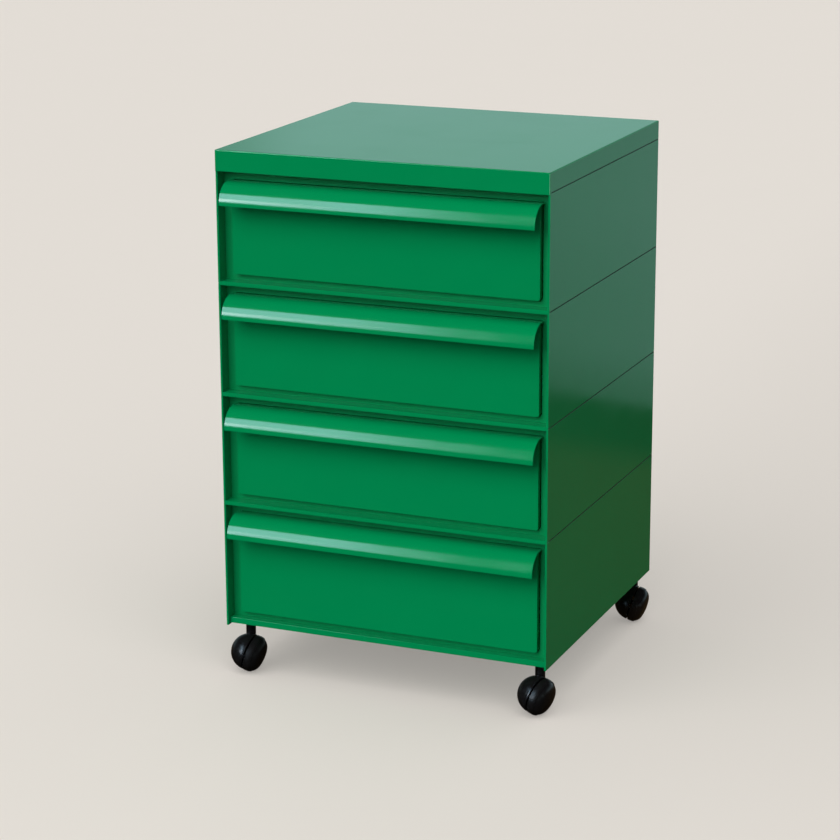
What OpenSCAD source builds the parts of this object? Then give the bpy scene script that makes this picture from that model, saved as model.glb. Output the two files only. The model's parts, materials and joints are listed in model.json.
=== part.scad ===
// Drawer cabinet of stacked steel modules on four ball casters.
// Millimetres, +Z up. The origin is on the floor under the middle of the cabinet,
// the drawers face -Y and the right side is +X.
// Module and drawer 1 are at the top, the highest number is at the bottom.

/* [Cabinet] */
// Width over the side walls
cabinet_w = 430; // [400:5:480]
// Depth from the front rims to the back
cabinet_d = 404; // [400:2:460]
// Painted sheet of the walls, fronts and trays
sheet = 1.2; // [1:0.1:1.4]
// Thickness of the folded rims round each opening
rim = 2.4; // [2:0.1:2.8]
// Depth of the recess from the rims to the face frames
recess = 18; // [16:1:20]
// Radius of the long folded edges of a module
fold_r = 0.8; // [0.4:0.1:1.5]
// Height of the top slab
slab_h = 24; // [20:1:30]
// Overhang of the slab over the top module's front rim
slab_lip = 1.5; // [1.3:0.1:2]

/* [Modules] */
// Number of stacked modules
modules = 4; // [2:1:4]
// Height of a module
module_h = 140.5; // [135:0.5:160]
// Extra height of the bottom module
bottom_extra = 22; // [14:1:26]
// Height of the bottom module's floor over its side walls' lower edge
floor_rise = 9; // [9:1:12]

/* [Drawers] */
// Flange left and right of each drawer front, gap and rim included
side_flange = 15.7; // [14.6:0.1:16.6]
// Flange between the rim and the drawer top
top_flange = 12; // [12:1:16]
// Flange between the rim and the drawer bottom
bottom_flange = 8; // [7:0.5:10]
// Gap round the sides and bottom of a drawer front
front_gap = 1; // [0.8:0.1:1.5]
// How far a drawer front stands in front of the face frame
front_proud = 7.5; // [6:0.5:9]
// Radius of the lower corners of a drawer front
front_corner_r = 3; // [2:0.5:5]
// How far a drawer slides out
drawer_travel = 290; // [200:10:290]
// Height that the tray walls stay below the drawer top
tray_drop = 11.5; // [11:0.5:20]

/* [Handles] */
// Radius of the curled lip along the top of each drawer
curl_r = 25; // [22:1:26]
// Sheet thickness of the curled lip
curl_sheet = 1.6; // [1.2:0.1:2]
// Straight stretch below the curl
curl_lip = 1.5; // [1:0.5:4]
// Depth of the flat stretch behind the curl
curl_flat = 17; // [16.5:0.5:18]
// Length that the curled lip stands out beyond each end of the drawer front
curl_over = 3.3; // [0.5:0.1:5]

/* [Casters] */
// Height from the floor to the lower edge of the side walls
caster_h = 65; // [64:1:75]
// Largest radius of the wheels
wheel_r = 23.7; // [22.5:0.1:24]
// Tilt of the axles, which dip towards the wheels
caster_tilt = 17; // [13:1:19]
// Distance from the swivel axis to the middle of the ball
caster_trail = 12; // [11:1:13]
// Directions in which the casters happen to stand: two at the front, two at the back
caster_turn = [4, -11, -3, 5]; // [-180:1:180]
// Swivel axes in from the side walls
caster_in_x = 18.5; // [18:0.5:40]
// Swivel axes in from the front rims
caster_in_front = 31; // [26:1:60]
// Swivel axes in from the back
caster_in_back = 12; // [12:1:60]

/* [Hidden] */
paint = [0.004, 0.502, 0.282];
zinc = [0.72, 0.73, 0.74];
nylon = [0.88, 0.87, 0.82];
rubber = [0.09, 0.09, 0.09];
caster_black = [0.07, 0.07, 0.075];

half_w = cabinet_w / 2;
handle_out = curl_r - curl_axis_y();  // the curled lips reach this far in front of the rims
rim_y = handle_out / 2 - cabinet_d / 2;  // Y of the rims, so that the whole stands over the origin
slab_bottom = module_top(1);
eps = 0.01;

front_half = half_w - side_flange;  // half width of a drawer front
front_y = recess - front_proud;  // the visible face of a drawer front
front_back_y = recess + 1;  // where a drawer front meets its tray
top_gap = 0.4;
curl_clear = 1.5;  // from the wide part of the curled lip to the face frame
frame_return = 8;
tray_half = front_half - 13;
tray_back_y = cabinet_d - 16;
tray_hem = 2;
tray_hem_h = 8;
weld_seam = 0.05;  // between the sheets of a tray
tray_floor_up = 2;
panel_return = 10;

rail_up = 20;  // runner height over the lower edge of the drawer front
rail_leg_h = 16;
runner_h = 16;
runner_y = [32, cabinet_d - 12];
runner_half = [front_half - 10.4, front_half + 2.2];  // inner edge of the flanges, outside of the web
glide_h = 2.2;
rail_gap = 0.2;
stop_x = [front_half - 7, front_half - 1];
tab_y = [tray_back_y - 5.7, tray_back_y - 2];
stop_y = tab_y[0] - 0.3 - drawer_travel;  // back face of the runner's stop

bolt_r = 2.5;
bolt_half = half_w - 15;
bolt_y = [42, cabinet_d - 40];
screw_r = 2;
screw_half = tray_half - 10;

pan_up = 1.5;  // the base pan over the side walls' lower edge
sill_y = 6;  // the base sill behind the rims

hood_r = wheel_r - 0.3;
hood_wall = 3;
slit = 2.2;  // between the hood's rim and the wheel
groove_r = 0.4;
tread_w = 8.9;
cap_step = 0.8;
shoulder_r = 12;
shoulder_at = 6.7;  // middle of the shoulder's arc, from the hood's rim along the axle
dome_angle = 15;  // where the shoulder runs over into the domed cap
hub_r = 8;
axle_r = 3;
axle_ends = [-17, 12];
ball_x = 2;  // the ball's middle stands a little towards the wheel
ball_z = shoulder_r + shoulder_at * sin(caster_tilt) + (wheel_r - shoulder_r) * cos(caster_tilt);
neck_r = 6.25;
neck_z = [ball_z + 14, caster_h - 7.4];
collar_gap = 0.3;
pintle_r = 4;
pintle_end = neck_z[0] + 3;
thread_r = 4;
run = 0.05;  // radial play of a running fit
CASTERS = ["fl", "fr", "bl", "br"];

// Places

// Distance of the curl's axis behind the rims
function curl_axis_y() = recess - 11;
function is_bottom(k) = k == modules;
function module_z(k) = caster_h + (is_bottom(k) ? 0 : bottom_extra + (modules - k) * module_h);
function module_top(k) = module_z(k) + module_h + (is_bottom(k) ? bottom_extra : 0);
// Top of the lower rim, which is a ledge in front of the face frame
function ledge_z(k) = module_z(k) + (is_bottom(k) ? floor_rise : rim);
// Upper face of the sheet under the drawer
function floor_z(k) = module_z(k) + (is_bottom(k) ? floor_rise : sheet);
function front_bottom(k) = ledge_z(k) + bottom_flange;
function front_top(k) = module_top(k) - rim - top_flange;
function tray_bottom(k) = front_bottom(k) + tray_floor_up;
function tray_top(k) = front_top(k) - tray_drop;
function runner_z(k) = front_bottom(k) + rail_up;
// Places of the four casters, counted as in CASTERS
function caster_x(i) = (i % 2 == 0 ? -1 : 1) * (half_w - caster_in_x);
function caster_y(i) = i < 2 ? caster_in_front : cabinet_d - caster_in_back;

// Shapes

// Everything below is laid out from the rims: y = 0 is the front rim plane
module from_rim() { translate([0, rim_y, 0]) children(); }

// Extrudes an outline drawn in X and Z from y0 to y1
module along_y(y0, y1) { translate([0, y1, 0]) rotate([90, 0, 0]) linear_extrude(y1 - y0) children(); }

// Extrudes an outline drawn in Y and Z over the width from -half to half
module along_x(half) {
    translate([-half, 0, 0]) rotate([90, 0, 90]) linear_extrude(2 * half) children();
}

module both_sides() {
    children();
    mirror([1, 0, 0]) children();
}

module box(x, y, z) { translate([x[0], y[0], z[0]]) cube([x[1] - x[0], y[1] - y[0], z[1] - z[0]]); }

// Rectangle about x = 0 with rounded upper corners, and rounded lower ones if r_low is set
module rounded_rect(half, z0, z1, r, r_low) {
    translate([-half, z0 + r_low]) square([2 * half, z1 - z0 - r - r_low]);
    translate([r - half, z1 - r - eps]) square([2 * (half - r), r + eps]);
    translate([r_low - half, z0]) square([2 * (half - r_low), r_low + eps]);
    for (side = [-1, 1]) {
        translate([side * (half - r), z1 - r]) circle(r, $fn = 32);
        if (r_low > 0) translate([side * (half - r_low), z0 + r_low]) circle(r_low, $fn = 32);
    }
}

// Outline of drawer front k, grown by side all round and by up at the top
module front_outline(k, side, up) {
    half = front_half + side;
    r = front_corner_r + side;
    z0 = front_bottom(k) - side;
    translate([-half, z0 + r]) square([2 * half, front_top(k) + up - z0 - r]);
    translate([r - half, z0]) square([2 * (half - r), r + eps]);
    for (side = [-1, 1]) translate([side * (half - r), z0 + r]) circle(r, $fn = 48);
}

module at_stack_bolts(z) {
    for (y = bolt_y) for (side = [-1, 1]) translate([side * bolt_half, y, z]) children();
}

module at_front_screws(k) {
    for (z = [tray_bottom(k) + 15, tray_top(k) - 15])
        for (side = [-1, 1]) translate([side * screw_half, front_back_y, z]) rotate([-90, 0, 0]) children();
}

module at_caster(i) { translate([caster_x(i), rim_y + caster_y(i), 0]) rotate(caster_turn[i]) children(); }

// Fixed pieces of the cabinet

// Hollow lid whose folded front lip covers the top module's rim
module top_slab() {
    color(paint) from_rim() difference() {
        union() {
            box([-half_w, half_w], [-slab_lip, cabinet_d], [slab_bottom, slab_bottom + slab_h]);
            box([-half_w, half_w], [-slab_lip, -slab_lip + sheet], [slab_bottom - rim, slab_bottom + eps]);
        }
        box([sheet - half_w, half_w - sheet], [sheet - slab_lip, cabinet_d - sheet],
            [slab_bottom + sheet, slab_bottom + slab_h - sheet]);
        box([26 - half_w, half_w - 26], [26, cabinet_d - 26], [slab_bottom - 1, slab_bottom + 2 * sheet]);
        at_stack_bolts(slab_bottom - 1) cylinder(h = 4, r = bolt_r + 0.2, $fn = 32);
    }
}

// Two hat sections under the slab's top sheet
module slab_stiffeners() {
    z = [slab_bottom + sheet, slab_bottom + slab_h - sheet];
    color(zinc) from_rim() for (y = [cabinet_d / 3, cabinet_d * 2 / 3]) difference() {
        box([30 - half_w, half_w - 30], [y - 20, y + 20], z);
        box([-half_w, half_w], [y - 20 + sheet, y + 20 - sheet], [z[0] - 1, z[1] - sheet]);
    }
}

// Outer sleeve of module k: side walls, top and floor, folded to a thicker rim at the front
module shell(k) {
    z = [module_z(k), module_top(k)];
    low_r = is_bottom(k) ? 0 : fold_r;
    color(paint) from_rim() difference() {
        along_y(0, cabinet_d) rounded_rect(half_w, z[0], z[1], fold_r, low_r);
        box([sheet - half_w, half_w - sheet], [recess, cabinet_d + 1], [floor_z(k), z[1] - sheet]);
        box([rim - half_w, half_w - rim], [-1, recess + eps],
            [is_bottom(k) ? z[0] - 1 : z[0] + rim, z[1] - rim]);
        if (is_bottom(k))
            box([sheet - half_w, half_w - sheet], [recess, cabinet_d + 1], [z[0] - 1, floor_z(k) - sheet]);
        at_stack_bolts(z[1] - 3) cylinder(h = 6, r = bolt_r + 0.2, $fn = 32);
        if (!is_bottom(k)) at_stack_bolts(z[0] - 3) cylinder(h = 6, r = bolt_r + 0.2, $fn = 32);
    }
}

// Forward-facing flange behind the rim of module k, with its edges folded back
module face_frame(k) {
    color(paint) from_rim() {
        along_y(recess, recess + sheet) difference() {
            translate([sheet - half_w, floor_z(k)])
                square([2 * (half_w - sheet), module_top(k) - sheet - floor_z(k)]);
            front_outline(k, front_gap, top_gap);
        }
        along_y(recess + sheet - eps, recess + sheet + frame_return) difference() {
            front_outline(k, front_gap + sheet, top_gap + sheet);
            front_outline(k, front_gap, top_gap);
        }
    }
}

// Flanged panel that closes the back of module k
module back_panel(k) {
    half = half_w - sheet;
    z = [floor_z(k), module_top(k) - sheet];
    color(paint) from_rim() difference() {
        box([-half, half], [cabinet_d - panel_return, cabinet_d], z);
        box([sheet - half, half - sheet], [cabinet_d - panel_return - 1, cabinet_d - sheet],
            [z[0] + sheet, z[1] - sheet]);
    }
}

// Pair of channels for drawer k, each on two brackets, with a stop near the front
module runners(k) {
    z = runner_z(k);
    web = [runner_half[1] - sheet, runner_half[1]];
    wall = half_w - sheet;
    color(zinc) from_rim() both_sides() {
        box(web, runner_y, [z, z + runner_h]);
        box([runner_half[0], web[1]], runner_y, [z, z + sheet]);
        box([runner_half[0], web[1]], runner_y, [z + runner_h - sheet, z + runner_h]);
        box(stop_x, [stop_y - 2, stop_y], [z + 8, z + runner_h - sheet + eps]);
        for (y = [runner_y[0] + 20, runner_y[1] - 44]) {
            box([web[1] - eps, wall], [y, y + 24], [z, z + sheet]);
            box([web[1] - eps, wall], [y, y + 24], [z + runner_h - sheet, z + runner_h]);
            box([wall - sheet, wall], [y, y + 24], [z, z + runner_h]);
        }
    }
}

// Strips in the channels that the drawer rails slide on
module glide_strips() {
    color(nylon) from_rim() for (k = [1:modules]) both_sides()
        box([runner_half[0] + 1.4, runner_half[1] - sheet - 1], [runner_y[0] + 2, runner_y[1] - 2],
            [runner_z(k) + sheet, runner_z(k) + sheet + glide_h]);
}

// Bumpers on the back panels that stop the closing drawers
module rear_buffers() {
    color(rubber) from_rim() for (k = [1:modules]) both_sides()
        translate([front_half - 55, tray_back_y + 0.3, (tray_bottom(k) + tray_top(k)) / 2]) rotate([-90, 0, 0]) {
            length = cabinet_d - sheet - tray_back_y - 0.3;
            cylinder(h = length, r = 6, $fn = 48);
            translate([0, 0, length - 3]) cylinder(h = 3, r = 9, $fn = 48);
        }
}

// Bolts and nuts that join the slab and the modules
module stack_bolts() {
    color(zinc) from_rim() for (k = [1:modules]) at_stack_bolts(module_top(k)) {
        translate([0, 0, -sheet - 3]) cylinder(h = 3, r = 4.5, $fn = 32);
        translate([0, 0, -sheet - 1]) cylinder(h = 2 * sheet + 7, r = bolt_r, $fn = 32);
        translate([0, 0, sheet]) cylinder(h = 4, r = 4.6, $fn = 6);
    }
}

// Folded strip between the side walls under the bottom drawer
module base_sill() {
    z = [module_z(modules) + pan_up, module_z(modules) + floor_rise];
    half = half_w - rim;
    color(paint) from_rim() {
        box([-half, half], [sill_y, sill_y + sheet], z);
        box([-half, half], [sill_y, recess], [z[1] - sheet, z[1]]);
        box([-half, half], [sill_y, 14], [z[0], z[0] + sheet]);
    }
}

// Pan under the bottom module that carries the casters
module base_pan() {
    z = [module_z(modules) + pan_up, module_z(modules) + floor_rise - sheet];
    half = half_w - rim - 0.2;
    y = [14.2, cabinet_d - sheet];
    color(paint) difference() {
        from_rim() box([-half, half], y, z);
        from_rim() box([sheet - half, half - sheet], [y[0] - 1, y[1] - sheet], [z[0] + sheet, z[1] + 1]);
        for (i = [0:3]) at_caster(i) translate([0, 0, z[0] - 1]) cylinder(h = 4, r = thread_r + 0.2, $fn = 48);
    }
}

// Thin nuts inside the base pan
module caster_nuts() {
    z = [module_z(modules) + pan_up + sheet, module_z(modules) + floor_rise - sheet];
    color(zinc) for (i = [0:3]) at_caster(i) difference() {
        translate([0, 0, z[0]]) rotate(30) cylinder(h = z[1] - z[0], r = 7.5, $fn = 6);
        translate([0, 0, z[0] - 1]) cylinder(h = z[1] - z[0] + 2, r = thread_r + run, $fn = 48);
    }
}

// Fixed swivel stems: pintle, collar and thread
module caster_stems() {
    seat = module_z(modules) + pan_up;
    collar = [neck_z[1] + collar_gap, seat];
    color(caster_black) for (i = [0:3]) at_caster(i) {
        translate([0, 0, pintle_end]) cylinder(h = collar[0] - pintle_end + eps, r = pintle_r, $fn = 48);
        translate([0, 0, collar[0]]) cylinder(h = collar[1] - collar[0], r = neck_r, $fn = 64);
        translate([0, 0, seat - eps]) cylinder(h = floor_rise - pan_up - sheet - 0.2, r = thread_r, $fn = 48);
    }
}

// Drawers

// Outline in Y and Z of the curled lip of drawer k, up to just before the face frame
module curl_outline(k) {
    axis = [curl_axis_y(), front_top(k) - curl_r];
    difference() {
        translate(axis) circle(curl_r, $fn = 128);
        translate(axis) circle(curl_r - curl_sheet, $fn = 128);
        translate([axis[0], axis[1] - curl_r - 1]) square(2 * curl_r + 2);
        translate([axis[0] - curl_r - 1, axis[1] - curl_r - 1]) square([curl_r + 2, curl_r + 1]);
    }
    translate([axis[0] - curl_r, axis[1] - curl_lip]) square([curl_sheet, curl_lip]);
    translate([axis[0], front_top(k) - curl_sheet]) square([recess - curl_clear - axis[0], curl_sheet]);
}

// Outline of the flat that runs on from the curled lip, with its rear edge folded down
module flat_outline(k) {
    y = [recess - curl_clear, curl_axis_y() + curl_flat];
    translate([y[0], front_top(k) - curl_sheet]) square([y[1] - y[0], curl_sheet]);
    translate([y[1] - sheet, front_top(k) - 9]) square([sheet, 9]);
}

// Front pan of drawer k with the curled lip along its top
module drawer_front(k) {
    top = curl_sheet / 2;
    color(paint) from_rim() difference() {
        union() {
            along_y(front_y, front_back_y) front_outline(k, 0, -top);
            along_x(front_half + curl_over) curl_outline(k);
            along_x(front_half) flat_outline(k);
        }
        along_y(front_y + sheet, front_back_y - sheet) front_outline(k, -sheet, -top - sheet);
        box([33 - front_half, front_half - 33], [front_y + sheet, front_back_y + 1],
            [front_bottom(k) + 12, front_top(k) - 12]);
        at_front_screws(k) translate([0, 0, -2]) cylinder(h = 5, r = screw_r + 0.1, $fn = 32);
    }
}

// Open box of drawer k: a floor, two sides and two ends of sheet with a folded hem, spot-welded together
module drawer_tray(k) {
    z = [tray_bottom(k) + sheet + weld_seam, tray_top(k)];
    hem_z = z[1] - tray_hem_h;
    y = [front_back_y, tray_back_y];
    low_half = tray_half - sheet - weld_seam;
    top_half = tray_half - tray_hem - weld_seam;
    color(paint) from_rim() {
        box([-tray_half, tray_half], y, [tray_bottom(k), tray_bottom(k) + sheet]);
        both_sides() {
            box([tray_half - sheet, tray_half], y, z);
            box([tray_half - tray_hem, tray_half - sheet + eps], y, [hem_z, z[1]]);
        }
        difference() {
            union() {
                box([-low_half, low_half], [y[0], y[0] + sheet], [z[0], hem_z - weld_seam]);
                box([-top_half, top_half], [y[0], y[0] + sheet], [hem_z - weld_seam - eps, z[1]]);
            }
            at_front_screws(k) translate([0, 0, -2]) cylinder(h = 5, r = screw_r + 0.1, $fn = 32);
        }
        box([-low_half, low_half], [y[1] - sheet, y[1]], [z[0], hem_z - weld_seam]);
        box([-top_half, top_half], [y[1] - tray_hem, y[1]], [hem_z - weld_seam - eps, z[1]]);
    }
}

// Pair of angle rails on the sides of drawer k, each with a tab at its rear end
module drawer_rails(k) {
    z = runner_z(k) + sheet + glide_h + rail_gap;
    y = [24, tab_y[1]];
    color(zinc) from_rim() both_sides() {
        box([tray_half, tray_half + sheet], y, [z, z + rail_leg_h]);
        box([tray_half, front_half], y, [z, z + sheet]);
        box(stop_x, tab_y, [z, z + 9]);
    }
}

// Pan-head screws that hold the front of drawer k to its tray
module front_screws(k) {
    color(zinc) from_rim() at_front_screws(k) {
        translate([0, 0, -3]) cylinder(h = sheet + 3 + eps, r = screw_r, $fn = 32);
        translate([0, 0, sheet]) cylinder(h = 1.8, r = 3.8, $fn = 32);
    }
}

// Casters, each drawn about its swivel axis with the wheel on the +X side

// Children stand in the ball's middle with +Z along the axle, towards the wheel
module at_ball() { translate([ball_x, -caster_trail, ball_z]) rotate([0, 90 + caster_tilt, 0]) children(); }

// Outline of a cylinder or shell about the axle: radius along X, place along the axle in Y
module around_axle() { at_ball() rotate_extrude($fn = 96) children(); }

// Half ball that swivels: a shell with a neck for the stem and a boss for the axle
module caster_hood() {
    color(caster_black) difference() {
        union() {
            around_axle() difference() {
                circle(hood_r, $fn = 128);
                circle(hood_r - hood_wall, $fn = 128);
                translate([-2 * hood_r, -2 * hood_r]) square([2 * hood_r, 4 * hood_r]);
                translate([-eps, 0]) square(2 * hood_r);
                translate([hood_r, -2.1]) circle(groove_r, $fn = 32);
            }
            around_axle() translate([0, 2 - hood_r]) square([hub_r, hood_r - 3]);
            translate([0, 0, neck_z[0]]) cylinder(h = neck_z[1] - neck_z[0], r = neck_r, $fn = 64);
        }
        around_axle() translate([0, axle_ends[0]]) square([axle_r, 20]);
        translate([0, 0, pintle_end - 0.3]) cylinder(h = 30, r = pintle_r + run, $fn = 48);
    }
}

// Axle, held in the hood's boss
module caster_axle() {
    color(zinc) around_axle() translate([0, axle_ends[0]]) square([axle_r, axle_ends[1] - axle_ends[0]]);
}

// Half section of the wheel and its cap in one, of radius r
module ball_section(r) {
    dome_r = (r - shoulder_r + shoulder_r * sin(dome_angle)) / sin(dome_angle);
    dome_at = shoulder_at + (shoulder_r - dome_r) * cos(dome_angle);
    dome_edge = dome_r * sin(dome_angle);
    intersection() {
        union() {
            translate([0, slit]) square([r, shoulder_at - slit]);
            translate([r - shoulder_r, shoulder_at]) circle(shoulder_r, $fn = 128);
            translate([0, shoulder_at - 1]) square([r - shoulder_r, shoulder_r + 1]);
            intersection() {
                translate([0, dome_at]) circle(dome_r, $fn = 360);
                translate([0, shoulder_at]) square([dome_edge, 2 * shoulder_r]);
            }
        }
        translate([0, slit]) square(2 * r);
    }
}

// Wheel with a hub and a web inside its tread
module caster_wheel() {
    back = slit + tread_w;
    color(caster_black) around_axle() difference() {
        intersection() {
            ball_section(wheel_r);
            square([2 * wheel_r, back]);
        }
        translate([0, slit - 1]) square([axle_r + run, tread_w + 2]);
        translate([hub_r, slit - 1]) square([wheel_r - hub_r - 4, 6]);
        translate([wheel_r, slit]) circle(groove_r, $fn = 32);
    }
}

// Domed cap on the wheel, a little smaller than the tread's edge
module wheel_cap() {
    color(caster_black) around_axle() difference() {
        ball_section(wheel_r - cap_step);
        square([2 * wheel_r, slit + tread_w]);
        translate([0, slit + tread_w - 1]) square([axle_r + 1, 3]);
    }
}

top_slab();
slab_stiffeners();
stack_bolts();
glide_strips();
rear_buffers();
base_sill();
base_pan();
caster_nuts();
caster_stems();
for (k = [1:modules]) {
    shell(k);
    face_frame(k);
    back_panel(k);
    runners(k);
    drawer_front(k);
    drawer_tray(k);
    drawer_rails(k);
    front_screws(k);
}
for (i = [0:3]) {
    at_caster(i) caster_hood();
    at_caster(i) caster_axle();
    at_caster(i) caster_wheel();
    at_caster(i) wheel_cap();
}
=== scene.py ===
"""Drawer cabinet on ball casters: finishes, edge rounding and studio."""

import json
import math

import bmesh
import bpy
from bpy.props import FloatProperty, FloatVectorProperty, PointerProperty
from mathutils import Matrix, Vector


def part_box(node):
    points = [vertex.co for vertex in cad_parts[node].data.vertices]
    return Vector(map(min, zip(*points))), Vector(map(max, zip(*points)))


bl_info = {
    "name": "Rolling Drawer Cabinet",
    "version": (1, 0, 0),
    "blender": (4, 5, 0),
    "location": "3D View > Sidebar > Cabinet",
    "description": "Finishes, edge rounding and studio for a stacked drawer cabinet",
    "category": "Object",
}

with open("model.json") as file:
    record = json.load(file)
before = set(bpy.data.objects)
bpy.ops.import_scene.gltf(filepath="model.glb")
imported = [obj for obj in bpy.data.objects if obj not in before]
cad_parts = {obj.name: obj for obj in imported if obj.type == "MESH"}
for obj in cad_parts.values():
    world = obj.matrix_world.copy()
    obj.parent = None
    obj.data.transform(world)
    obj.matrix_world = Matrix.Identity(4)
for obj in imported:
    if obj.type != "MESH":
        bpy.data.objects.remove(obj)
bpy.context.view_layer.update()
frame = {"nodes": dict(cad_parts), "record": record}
NODES = frame["nodes"]
BODY_OF = {
    node: body
    for body, nodes in frame["record"]["behaviour"]["bodies"].items()
    for node in nodes
}
MODULES = sum(name.startswith("shell_") for name in NODES)
CASTERS = [name[-2:] for name in NODES if name.startswith("caster_hood_")]
MM = 0.001
BLACK = (0.0, 0.0, 0.0, 1.0)
ON_FACE = 0.1 * MM  # distance up to which a point counts as on a face of its box
SMOOTH_FOLD = 32  # degrees; sharper edges are rounded
SENSOR = 36.0

# The window that the gloss shows, its bright core and the pale wall behind. Each pair is a soft
# edge: how far to the left a ray goes, how steeply it rises in front (radians), or its y or z.
PANE_START, PANE_END = (0.362, 0.398), (0.50, 0.56)
PANE_FOOT, PANE_HEAD = (0.0, 0.09), (0.84, 0.93)
CORE_START = (0.438, 0.452)
CORE_FOOT, CORE_HEAD = (0.10, 0.15), (0.34, 0.40)
WALL_START, WALL_HEAD, WALL_FADE = (0.0, 0.2), (0.26, 0.36), (0.42, 0.46)
PANE_COLOUR = (0.55, 0.8, 1.0)
CORE_COLOUR = (0.85, 0.9, 1.0)
CORE_GAIN = 2.4
WALL_COLOUR = (0.40, 0.55, 0.60, 1.0)

# The floor that the gloss shows, painted for reflections only: brown close behind the front as
# painted shadow, a painted dark gap, pale from a seam on, and a glowing patch at the right. Each
# pair is a soft edge in metres.
FLOOR_FRONT, BROWN_END = (-0.25, 0.0), (0.74, 0.92)
PALE_STEPS = (((1.10, 1.125), 0.5), ((1.12, 1.5), 0.3), ((1.5, 2.9), 0.2))
PATCH_LEFT, PATCH_BACK = (1.1, 1.6), (-0.9, -0.4)
SLANT = 0.205  # of the seam in the floor
GAP_COLOUR = (0.035, 0.01, 0.0, 1.0)
PAINTED_SHADOW_BROWN = (0.10, 0.06, 0.02, 1.0)
PALE_COLOUR = (0.30, 0.46, 0.46, 1.0)
PATCH_COLOUR = (0.9, 1.0, 1.0, 1.0)
PATCH_PAINTED_GLOW = (2.2, 3.0, 3.0, 1.0)


def length(name, default, text):
    """A length in metres, shown in the scene's unit."""
    return FloatProperty(
        name=name, default=default, description=text, unit="LENGTH", precision=5
    )


def share(name, default, text):
    """A value from 0 to 1."""
    return FloatProperty(
        name=name, default=default, description=text, min=0.0, max=1.0, subtype="FACTOR"
    )


def colour(name, default, text):
    """A linear colour."""
    return FloatVectorProperty(
        name=name, default=default, description=text, min=0.0, max=1.0, subtype="COLOR"
    )


class EnamelSettings(bpy.types.PropertyGroup):
    """Green stove enamel on the folded sheets."""

    tint: colour("Colour", (0.0, 0.232, 0.074), "Colour of the enamel")
    roughness: share("Roughness", 0.085, "Roughness of a clean stretch of enamel")
    satin: share("Inner roughness", 0.42, "Roughness of the thinner enamel inside the sleeves")
    peel_size: length("Peel size", 2.4 * MM, "Width of the ripples in the enamel")
    peel_depth: length("Peel depth", 0.003 * MM, "Height of the ripples")
    wave_size: length("Wave size", 55 * MM, "Width of the slow waves in the sheet")
    wave_depth: length("Wave depth", 0.05 * MM, "Height of the slow waves")
    mottle_size: length("Mottle size", 60 * MM, "Width of the faint clouds in the colour")
    dust_size: length("Dust size", 0.7 * MM, "Width of the dust specks")
    smear_size: length("Smear size", 90 * MM, "Width of the wiped stretches")
    # Painted shade: a dark, rougher line in the enamel along each seam between two sleeves,
    # standing for the shade in the joint.
    painted_seam_shade_core: length("Painted seam shade core", 0.4 * MM, "Half the width of the grime in a seam")
    painted_seam_shade_edge: length("Painted seam shade edge", 1.1 * MM, "Where the grime in a seam ends")
    rim_round: length("Rim rounding", 0.8 * MM, "Rounding of the sleeves' outer edges")
    slab_round: length("Slab rounding", 1.1 * MM, "Rounding of the slab's edges")
    edge_round: length("Edge rounding", 0.35 * MM, "Rounding of the cut edges")


class MetalSettings(bpy.types.PropertyGroup):
    """Zinc-plated runners, rails, bolts and axles."""

    tint: colour("Colour", (0.50, 0.51, 0.52), "Colour of the zinc")
    roughness: share("Roughness", 0.34, "Roughness of the plating")
    spangle: length("Spangle", 9 * MM, "Width of the zinc's crystals")
    scratch: length("Scratches", 4 * MM, "Width of the drawn scratches")


class CasterSettings(bpy.types.PropertyGroup):
    """Moulded casters."""

    tint: colour("Colour", (0.0055, 0.0055, 0.006), "Colour of the mouldings")
    roughness: share("Roughness", 0.24, "Roughness of the mouldings")
    grain: length("Grain", 0.5 * MM, "Width of the mould's texture")


class StudioSettings(bpy.types.PropertyGroup):
    """Floor, lamps and camera."""

    floor: colour("Floor", (0.745, 0.709, 0.666), "Colour of the floor")
    sky: colour("Backdrop", (0.737, 0.703, 0.662), "Colour around the stage")
    key: FloatProperty(name="Key", default=2.86, description="Strength of the key lamp")
    floor_key: FloatProperty(
        name="Floor lamp", default=2.1, description="Strength of the lamp over the floor"
    )
    fill: FloatProperty(
        name="Fill", default=0.54, description="Strength of the light from all round"
    )
    window: FloatProperty(
        name="Window", default=8.0, description="Strength of the window that the gloss shows"
    )
    lens: FloatProperty(
        name="Lens", default=111.79, description="Focal length", unit="CAMERA"
    )
    camera_at: FloatVectorProperty(
        name="Camera",
        default=(1.2200, -2.9669, 1.2068),
        description="Place of the camera",
        subtype="TRANSLATION",
    )
    turn: FloatProperty(
        name="Turn",
        default=math.radians(22.84),
        description="Turn of the camera to the left of straight behind the fronts",
        subtype="ANGLE",
    )
    dip: FloatProperty(
        name="Dip",
        default=math.radians(15.67),
        description="Angle at which the camera looks down",
        subtype="ANGLE",
    )
    roll: FloatProperty(
        name="Roll", default=-0.004, description="Roll of the camera", subtype="ANGLE"
    )


# Shaders


class Wire:
    """Output of a shader node. Arithmetic on it adds Math nodes."""

    def __init__(self, finish, socket):
        self.finish = finish
        self.socket = socket

    def _math(self, operation, a, b):
        return self.finish.node("Math", {"operation": operation}, {0: a, 1: b})

    def __add__(self, other):
        return self._math("ADD", self, other)

    def __sub__(self, other):
        return self._math("SUBTRACT", self, other)

    def __rsub__(self, other):
        return self._math("SUBTRACT", other, self)

    def __mul__(self, other):
        return self._math("MULTIPLY", self, other)

    __radd__ = __add__
    __rmul__ = __mul__


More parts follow.
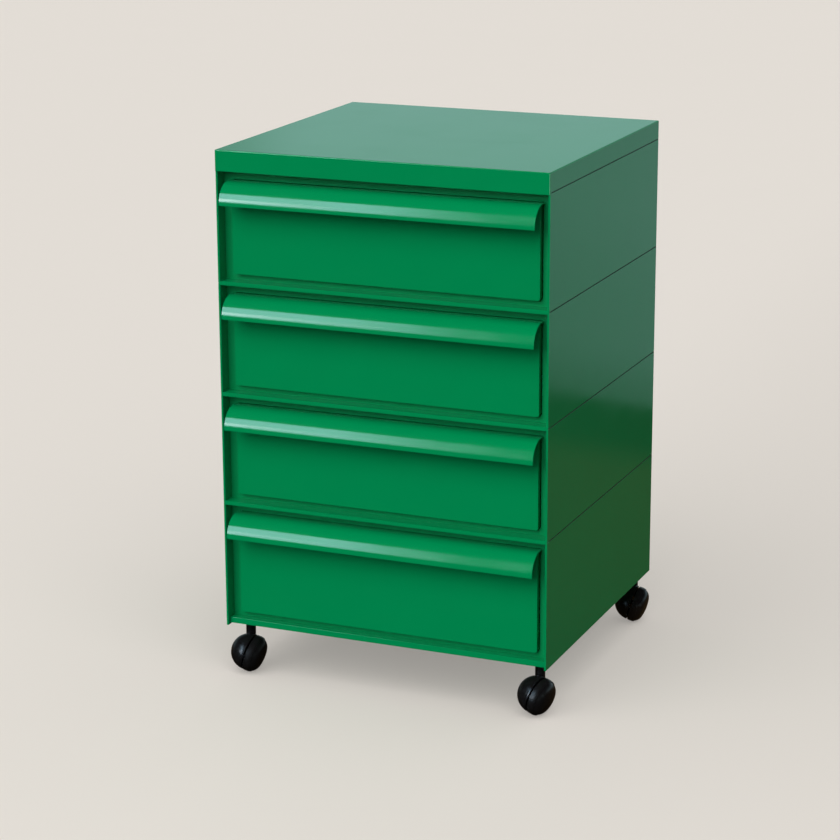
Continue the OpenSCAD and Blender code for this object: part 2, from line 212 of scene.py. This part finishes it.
class Finish:
    """Node tree of a material or of the world."""

    def __init__(self, owner):
        owner.use_nodes = True
        self.owner = owner
        self.tree = owner.node_tree
        self.tree.nodes.clear()

    def node(self, kind, settings=None, sockets=None, out=0):
        """Adds a node, with its settings first, and returns one output as a Wire."""
        made = self.tree.nodes.new("ShaderNode" + kind)
        for name, value in (settings or {}).items():
            if name == "stops":
                self._set_ramp(made.color_ramp, value)
            else:
                setattr(made, name, value)
        for name, value in (sockets or {}).items():
            if isinstance(value, Wire):
                self.tree.links.new(value.socket, made.inputs[name])
            else:
                made.inputs[name].default_value = value
        if isinstance(out, tuple):
            return [Wire(self, made.outputs[name]) for name in out]
        return Wire(self, made.outputs[out]) if len(made.outputs) else made

    @staticmethod
    def _set_ramp(ramp, stops):
        while len(ramp.elements) < len(stops):
            ramp.elements.new(1.0)
        for element, (place, value) in zip(ramp.elements, stops):
            element.position = place
            grey = (value, value, value, 1.0)
            element.color = grey if isinstance(value, (int, float)) else value

    def place(self):
        """Position on the object, in metres; it moves with the piece."""
        return self.node("TexCoord", out="Object")

    def noise(self, vector, size, detail=2.0, roughness=0.5):
        """Noise from 0 to 1 with lumps of about the size given, in metres."""
        sockets = {
            "Vector": vector,
            "Scale": 1.0 / size,
            "Detail": detail,
            "Roughness": roughness,
        }
        return self.node("TexNoise", None, sockets)

    def ramp(self, value, *stops):
        return self.node("ValToRGB", {"stops": stops}, {"Fac": value})

    def rise(self, value, low, high):
        """Goes smoothly from 0 at low to 1 at high."""
        sockets = {"Value": value, "From Min": low, "From Max": high}
        return self.node("MapRange", {"interpolation_type": "SMOOTHSTEP"}, sockets)

    def fall(self, value, low, high):
        """Goes smoothly from 1 at low to 0 at high."""
        return 1.0 - self.rise(value, low, high)

    def stretch(self, vector, scale):
        """The vector with each axis scaled."""
        return self.node(
            "VectorMath", {"operation": "MULTIPLY"}, {0: vector, 1: scale}
        )

    def mix(self, factor, a, b):
        """Mixes two colours."""
        settings = {"data_type": "RGBA", "clamp_factor": True}
        return self.node("Mix", settings, {0: factor, 6: a, 7: b}, out=2)

    def bump(self, height, depth, normal=None):
        """Normal bent by a height from 0 to 1, which stands for depth in metres."""
        sockets = {"Height": height, "Distance": depth, "Strength": 1.0}
        if normal:
            sockets["Normal"] = normal
        return self.node("Bump", None, sockets)

    def output(self, shader, kind="OutputMaterial"):
        self.node(kind, None, {"Surface": shader})
        return self.owner


def rgba(value, gain=1.0):
    return (value[0] * gain, value[1] * gain, value[2] * gain, 1.0)


def enamel_finish(name, roughness, gloss=0.5):
    """Enamel: slow waves of the sheet, fine peel, faint mottling, dust, and painted shade in the
    seams.
    """
    s = bpy.context.scene.cabinet_enamel
    f = Finish(bpy.data.materials.new(name))
    at = f.place()
    mottle = f.noise(at, s.mottle_size, 3.0, 0.6)
    specks = f.noise(at, s.dust_size, 2.0)
    smears = f.noise(f.stretch(at, (1.0, 1.0, 3.0)), s.smear_size, 4.0)
    smears = f.ramp(smears, (0.42, 0.0), (0.75, 1.0))
    tone = f.mix(mottle, rgba(s.tint, 0.965), rgba(s.tint, 1.035))
    tone = f.mix(f.ramp(specks, (0.62, 0.0), (0.85, 1.0)) * 0.12, tone, rgba(s.tint, 1.25))
    depth, height = f.node("SeparateXYZ", None, {0: at}, out=(1, 2))
    # Painted shade: at the height of each sleeve's top, behind the front rims, the colour is
    # darkened towards 5% of the tint and the enamel made rougher.
    painted_seam_shade = 0.0
    for k in range(1, MODULES + 1):
        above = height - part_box(f"shell_{k}")[1][2]
        off = f.node("Math", {"operation": "ABSOLUTE"}, {0: above})
        painted_seam_shade = f.fall(off, s.painted_seam_shade_core, s.painted_seam_shade_edge) + painted_seam_shade
    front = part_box("shell_1")[0][1]
    painted_seam_shade = painted_seam_shade * f.rise(depth, front + 2 * MM, front + 5 * MM)
    tone = f.mix(painted_seam_shade * 0.85, tone, rgba(s.tint, 0.05))
    wave = f.bump(f.noise(at, s.wave_size, 1.0), s.wave_depth)
    peel = f.bump(f.noise(at, s.peel_size, 1.0), s.peel_depth, wave)
    shader = f.node(
        "BsdfPrincipled",
        None,
        {
            "Base Color": tone,
            "Roughness": roughness + 0.03 * mottle + 0.06 * smears + 0.5 * painted_seam_shade,
            "Normal": peel,
            "IOR": 1.5,
            "Specular IOR Level": gloss,
        },
    )
    return f.output(shader)


def zinc_finish():
    """Zinc plating with faint crystals and drawn scratches."""
    s = bpy.context.scene.cabinet_metal
    f = Finish(bpy.data.materials.new("zinc plated steel"))
    at = f.place()
    sockets = {"Vector": at, "Scale": 1.0 / s.spangle}
    crystals = f.node("TexVoronoi", None, sockets, out="Color")
    crystals = f.node("RGBToBW", None, {"Color": crystals})
    drawn = f.noise(f.stretch(at, (6.0, 0.25, 6.0)), s.scratch, 3.0)
    tone = f.mix(crystals, rgba(s.tint, 0.9), rgba(s.tint, 1.1))
    shader = f.node(
        "BsdfPrincipled",
        None,
        {
            "Base Color": tone,
            "Metallic": 1.0,
            "Roughness": s.roughness + 0.08 * crystals + 0.12 * drawn,
            "Normal": f.bump(drawn, 0.02 * MM),
        },
    )
    return f.output(shader)


def moulded_finish(name, tint, roughness, grain, depth, dust=0.0):
    """Moulded plastic or rubber with a fine texture, cloudy gloss and a little dust."""
    f = Finish(bpy.data.materials.new(name))
    at = f.place()
    fine = f.noise(at, grain, 2.0)
    clouds = f.noise(at, 14 * MM, 3.0, 0.6)
    tone = f.mix(clouds, rgba(tint, 0.85), rgba(tint, 1.15))
    if dust:
        specks = f.ramp(f.noise(at, 1.6 * MM, 4.0, 0.7), (0.6, 0.0), (0.8, 1.0))
        tone = f.mix(specks * dust, tone, (0.16, 0.15, 0.14, 1.0))
    shader = f.node(
        "BsdfPrincipled",
        None,
        {
            "Base Color": tone,
            "Roughness": roughness + 0.1 * clouds,
            "Normal": f.bump(fine, depth),
        },
    )
    return f.output(shader)


# Meshes


def paint(node, material):
    """Gives a CAD node one material."""
    materials = NODES[node].data.materials
    materials.clear()
    materials.append(material)


def near_faces(node, faces):
    """Test for the points of a CAD node that lie on the named faces of its box."""
    low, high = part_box(node)

    def test(p):
        for side, axis in zip(faces[::2], faces[1::2]):
            i = "xyz".index(axis)
            if p[i] < low[i] + ON_FACE if side == "-" else p[i] > high[i] - ON_FACE:
                return True
        return False

    return test


def soften(node, radius, segments=3, folds=None):
    """Rounds the edges of a CAD node.

    folds is a test of a point and a radius, for the edges that are rounded more. The normals
    follow the large faces, so that flat and curved sheets mirror without a twist.
    """
    obj = NODES[node]
    obj.modifiers.new("join", "WELD").merge_threshold = 1e-6
    flat = obj.modifiers.new("flat faces", "DECIMATE")
    flat.decimate_type = "DISSOLVE"
    flat.angle_limit = math.radians(0.4)
    if folds:
        group = obj.vertex_groups.new(name="folds")
        group.add([v.index for v in obj.data.vertices if folds[0](v.co)], 1.0, "REPLACE")
        fold = obj.modifiers.new("folds", "BEVEL")
        fold.width = folds[1]
        fold.segments = 4
        fold.limit_method = "VGROUP"
        fold.vertex_group = group.name
    edge = obj.modifiers.new("edges", "BEVEL")
    edge.width = radius
    edge.segments = segments
    edge.limit_method = "ANGLE"
    edge.angle_limit = math.radians(SMOOTH_FOLD)
    obj.data.shade_smooth()
    normals = obj.modifiers.new("large faces lead the normals", "WEIGHTED_NORMAL")
    normals.mode = "FACE_AREA"


class CABINET_OT_carcass(bpy.types.Operator):
    """Enamel and rounded folds on slab, sleeves, frames, backs, sill and pan"""

    bl_idname = "cabinet.carcass"
    bl_label = "Carcass"

    def execute(self, context):
        s = context.scene.cabinet_enamel
        enamel = enamel_finish("green enamel", s.roughness)
        satin = enamel_finish("satin enamel", s.satin, 0.2)
        frames = [f"face_frame_{k}" for k in range(1, MODULES + 1)]
        backs = [f"back_panel_{k}" for k in range(1, MODULES + 1)]
        for name in ["base_sill", "base_pan", *frames, *backs]:
            paint(name, satin if name in frames else enamel)
            soften(name, s.edge_round, 2)
        for k in range(1, MODULES + 1):
            shell = f"shell_{k}"
            paint(shell, enamel)
            soften(shell, s.edge_round, 2, (near_faces(shell, "-x+x-y-z+z"), s.rim_round))
        paint("top_slab", enamel)
        soften("top_slab", s.edge_round, 2, (near_faces("top_slab", "-y+z"), s.slab_round))
        return {"FINISHED"}


class CABINET_OT_drawers(bpy.types.Operator):
    """Enamel on the drawer fronts and trays"""

    bl_idname = "cabinet.drawers"
    bl_label = "Drawers"

    def execute(self, context):
        s = context.scene.cabinet_enamel
        enamel = bpy.data.materials["green enamel"]
        for k in range(1, MODULES + 1):
            paint(f"drawer_front_{k}", enamel)
            soften(f"drawer_front_{k}", s.edge_round, 3)
            paint(f"drawer_tray_{k}", enamel)
            soften(f"drawer_tray_{k}", s.edge_round, 2)
        return {"FINISHED"}


class CABINET_OT_runners(bpy.types.Operator):
    """Runners, rails, glide strips and rear bumpers"""

    bl_idname = "cabinet.runners"
    bl_label = "Runners"

    def execute(self, context):
        zinc = zinc_finish()
        nylon = moulded_finish("nylon", (0.72, 0.70, 0.62), 0.4, 0.8 * MM, 0.01 * MM)
        rubber = moulded_finish("rubber", (0.02, 0.02, 0.02), 0.65, 0.6 * MM, 0.02 * MM)
        for k in range(1, MODULES + 1):
            paint(f"runners_{k}", zinc)
            paint(f"drawer_rails_{k}", zinc)
        paint("glide_strips", nylon)
        paint("rear_buffers", rubber)
        return {"FINISHED"}


class CABINET_OT_hardware(bpy.types.Operator):
    """Stiffeners, bolts, nuts and screws"""

    bl_idname = "cabinet.hardware"
    bl_label = "Hardware"

    def execute(self, context):
        zinc = bpy.data.materials["zinc plated steel"]
        for name in ["slab_stiffeners", "stack_bolts", "caster_nuts"]:
            paint(name, zinc)
        for k in range(1, MODULES + 1):
            paint(f"front_screws_{k}", zinc)
        return {"FINISHED"}


class CABINET_OT_casters(bpy.types.Operator):
    """Stems, hoods, axles, wheels and caps of the casters"""

    bl_idname = "cabinet.casters"
    bl_label = "Casters"

    def execute(self, context):
        s = context.scene.cabinet_caster
        zinc = bpy.data.materials["zinc plated steel"]
        black = moulded_finish("caster black", s.tint, s.roughness, s.grain, 0.006 * MM)
        rougher = s.roughness + 0.06
        tread = moulded_finish("wheel black", s.tint, rougher, s.grain, 0.01 * MM, 0.25)
        paint("caster_stems", black)
        for corner in CASTERS:
            paint(f"caster_hood_{corner}", black)
            paint(f"caster_axle_{corner}", zinc)
            paint(f"caster_wheel_{corner}", tread)
            paint(f"wheel_cap_{corner}", black)
        return {"FINISHED"}


class CABINET_OT_studio(bpy.types.Operator):
    """Floor, world, lamps and camera"""

    bl_idname = "cabinet.studio"
    bl_label = "Studio"

    def execute(self, context):
        s = context.scene.cabinet_studio
        self.add_floor(s)
        self.light_world(s)
        self.add_lamps(s)
        self.add_camera(s)
        return {"FINISHED"}

    def add_floor(self, s):
        mesh = bpy.data.meshes.new("floor")
        bm = bmesh.new()
        bmesh.ops.create_circle(bm, cap_ends=True, segments=64, radius=30.0)
        bm.to_mesh(mesh)
        bm.free()
        floor = bpy.data.objects.new("floor", mesh)
        bpy.context.scene.collection.objects.link(floor)
        mesh.materials.append(self.floor_finish(s))

    def floor_finish(self, s):
        """Pale paper, painted lighter towards the left front, with its own painted stretches for
        the gloss and for the light it throws back.
        """
        f = Finish(bpy.data.materials.new("paper floor"))
        at = f.place()
        clouds = f.noise(at, 0.35, 2.0)
        x, y = f.node("SeparateXYZ", None, {0: at}, out=(0, 1))
        # Painted light: the floor the camera sees is lighter towards the left and the front, and
        # darker to the right and back.
        painted_light_fade = 0.7 * f.fall(x, -0.35, 0.35) + 0.5 * f.fall(y, -0.5, 0.2) + 0.06 * clouds
        seen = f.mix(painted_light_fade, rgba(s.floor, 0.95), rgba(s.floor, 1.12))
        back = y - SLANT * x
        behind = f.rise(y, *FLOOR_FRONT)
        brown = behind * f.fall(back, *BROWN_END)
        pale = 0.0
        for edge, gain in PALE_STEPS:
            pale = f.rise(back, *edge) * gain + pale
        # Painted highlight: in reflections only, a patch of floor at the right front is bright and
        # glows, and shows as bright lines on the slab's right front edge and on other rounded
        # edges facing it.
        patch = f.rise(x, *PATCH_LEFT) * f.fall(y, *PATCH_BACK)
        # Painted reflection: colours that only reflections on the cabinet see; the brown close
        # behind the front is a painted shadow of the cabinet on the floor, and the dark gap a
        # painted dark band.
        painted_reflection = f.mix(behind, BLACK, GAP_COLOUR)
        painted_reflection = f.mix(brown, painted_reflection, PAINTED_SHADOW_BROWN)
        painted_reflection = f.mix(pale, painted_reflection, PALE_COLOUR)
        painted_reflection = f.mix(patch, painted_reflection, PATCH_COLOUR)
        camera, glossy = f.node("LightPath", out=("Is Camera Ray", "Is Glossy Ray"))
        shade = f.rise(x, 0.2, 0.6) * f.rise(y, -0.1, 0.3)
        bounce = f.mix(shade, rgba(s.floor, 0.33), rgba(s.floor, 0.1))
        tone = f.mix(camera, bounce, f.mix(0.35, seen, BLACK))
        glow = f.mix(camera, BLACK, rgba(s.floor, 0.38))
        sockets = {
            "Base Color": f.mix(glossy, tone, painted_reflection),
            "Emission Color": f.mix(glossy * patch, glow, PATCH_PAINTED_GLOW),
            "Emission Strength": 1.0,
            "Roughness": 0.9,
            "Specular IOR Level": 0.0,
        }
        return f.output(f.node("BsdfPrincipled", None, sockets))

    def light_world(self, s):
        """Even light, and for the gloss a pale wall behind and a window at the front left."""
        world = bpy.data.worlds.new("studio")
        bpy.context.scene.world = world
        f = Finish(world)
        towards = f.node("TexCoord", out="Generated")
        x, y, z = f.node("SeparateXYZ", None, {0: towards}, out=(0, 1, 2))
        left = 0.0 - x
        lift = f.node("Math", {"operation": "ARCTAN2"}, {0: z, 1: 0.0 - y})
        lift = lift + (f.noise(towards, 0.05, 2.0) - 0.5) * 0.05
        inside = f.fall(left, *PANE_END)
        pane = f.rise(left, *PANE_START) * f.rise(lift, *PANE_FOOT) * f.fall(lift, *PANE_HEAD)
        core = f.rise(left, *CORE_START) * f.rise(lift, *CORE_FOOT) * f.fall(lift, *CORE_HEAD)
        wall = f.rise(y, *WALL_START) * f.fall(z, *WALL_HEAD)
        wall = wall * (1.0 - 0.4 * f.rise(left, *WALL_FADE))
        bright = f.mix(wall, BLACK, WALL_COLOUR)
        bright = f.mix(pane * inside, bright, rgba(PANE_COLOUR, s.window))
        bright = f.mix(core * inside, bright, rgba(CORE_COLOUR, CORE_GAIN * s.window))
        camera, glossy = f.node("LightPath", out=("Is Camera Ray", "Is Glossy Ray"))
        side = f.rise(0.78 * x + 0.62 * y, -0.2, 1.0)
        even = s.fill * (0.45 + 0.35 * z + 0.7 * side)
        light = f.node("Background", None, {"Color": (1.0, 0.99, 0.97, 1.0), "Strength": even})
        view = f.node("Background", None, {"Color": rgba(s.sky), "Strength": 1.0})
        shine = f.node("Background", None, {"Color": bright, "Strength": 1.0})
        both = f.node("MixShader", None, {0: camera, 1: light, 2: view})
        f.output(f.node("MixShader", None, {0: glossy, 1: both, 2: shine}), "OutputWorld")

    def add_lamps(self, s):
        """A wide key lamp for the cabinet, and a wider one that only lights the floor."""
        floor = bpy.data.collections.new("floor light")
        floor.objects.link(bpy.data.objects["floor"])
        rest = bpy.data.collections.new("key light")
        rest.objects.link(bpy.data.objects["floor"])
        rest.collection_objects[0].light_linking.link_state = "EXCLUDE"
        lamps = (
            ("key", s.key, 52, (-0.18, -0.8, 0.6), rest),
            ("floor lamp", s.floor_key, 90, (0.1, -0.9, 0.85), floor),
        )
        for name, strength, angle, towards, lit in lamps:
            lamp = bpy.data.lights.new(name, "SUN")
            lamp.energy = strength
            lamp.angle = math.radians(angle)
            lamp.color = (1.0, 0.985, 0.96)
            made = bpy.data.objects.new(name, lamp)
            made.rotation_euler = Vector(towards).to_track_quat("Z", "Y").to_euler()
            made.visible_glossy = False
            made.light_linking.receiver_collection = lit
            bpy.context.scene.collection.objects.link(made)

    def add_camera(self, s):
        data = bpy.data.cameras.new("camera")
        data.lens = s.lens
        data.sensor_width = SENSOR
        camera = bpy.data.objects.new("camera", data)
        ahead = Vector((
            -math.sin(s.turn) * math.cos(s.dip),
            math.cos(s.turn) * math.cos(s.dip),
            -math.sin(s.dip),
        ))
        right = Vector((math.cos(s.turn), math.sin(s.turn), 0.0))
        up = right.cross(ahead)
        level = Matrix((right, up, -ahead)).transposed()
        camera.matrix_world = Matrix.Translation(s.camera_at) @ (
            level @ Matrix.Rotation(s.roll, 3, "Z")
        ).to_4x4()
        bpy.context.scene.collection.objects.link(camera)
        bpy.context.scene.camera = camera
        bpy.context.scene.view_settings.view_transform = "Standard"


STEPS = (
    CABINET_OT_studio,
    CABINET_OT_carcass,
    CABINET_OT_drawers,
    CABINET_OT_runners,
    CABINET_OT_hardware,
    CABINET_OT_casters,
)
SETTINGS = {
    "cabinet_enamel": EnamelSettings,
    "cabinet_metal": MetalSettings,
    "cabinet_caster": CasterSettings,
    "cabinet_studio": StudioSettings,
}


class CABINET_PT_panel(bpy.types.Panel):
    """Steps of the cabinet and their settings"""

    bl_idname = "CABINET_PT_panel"
    bl_label = "Drawer cabinet"
    bl_space_type = "VIEW_3D"
    bl_region_type = "UI"
    bl_category = "Cabinet"

    def draw(self, context):
        for step in STEPS:
            self.layout.operator(step.bl_idname)
        for name, group in SETTINGS.items():
            box = self.layout.box()
            for prop in group.__annotations__:
                box.prop(getattr(context.scene, name), prop)


CLASSES = (*SETTINGS.values(), *STEPS, CABINET_PT_panel)


def register():
    for cls in CLASSES:
        bpy.utils.register_class(cls)
    for name, group in SETTINGS.items():
        setattr(bpy.types.Scene, name, PointerProperty(type=group))


def unregister():
    for name in SETTINGS:
        delattr(bpy.types.Scene, name)
    for cls in reversed(CLASSES):
        bpy.utils.unregister_class(cls)


def main():
    register()
    for step in STEPS:
        group, action = step.bl_idname.split(".")
        getattr(getattr(bpy.ops, group), action)()


if __name__ == "__main__":
    main()
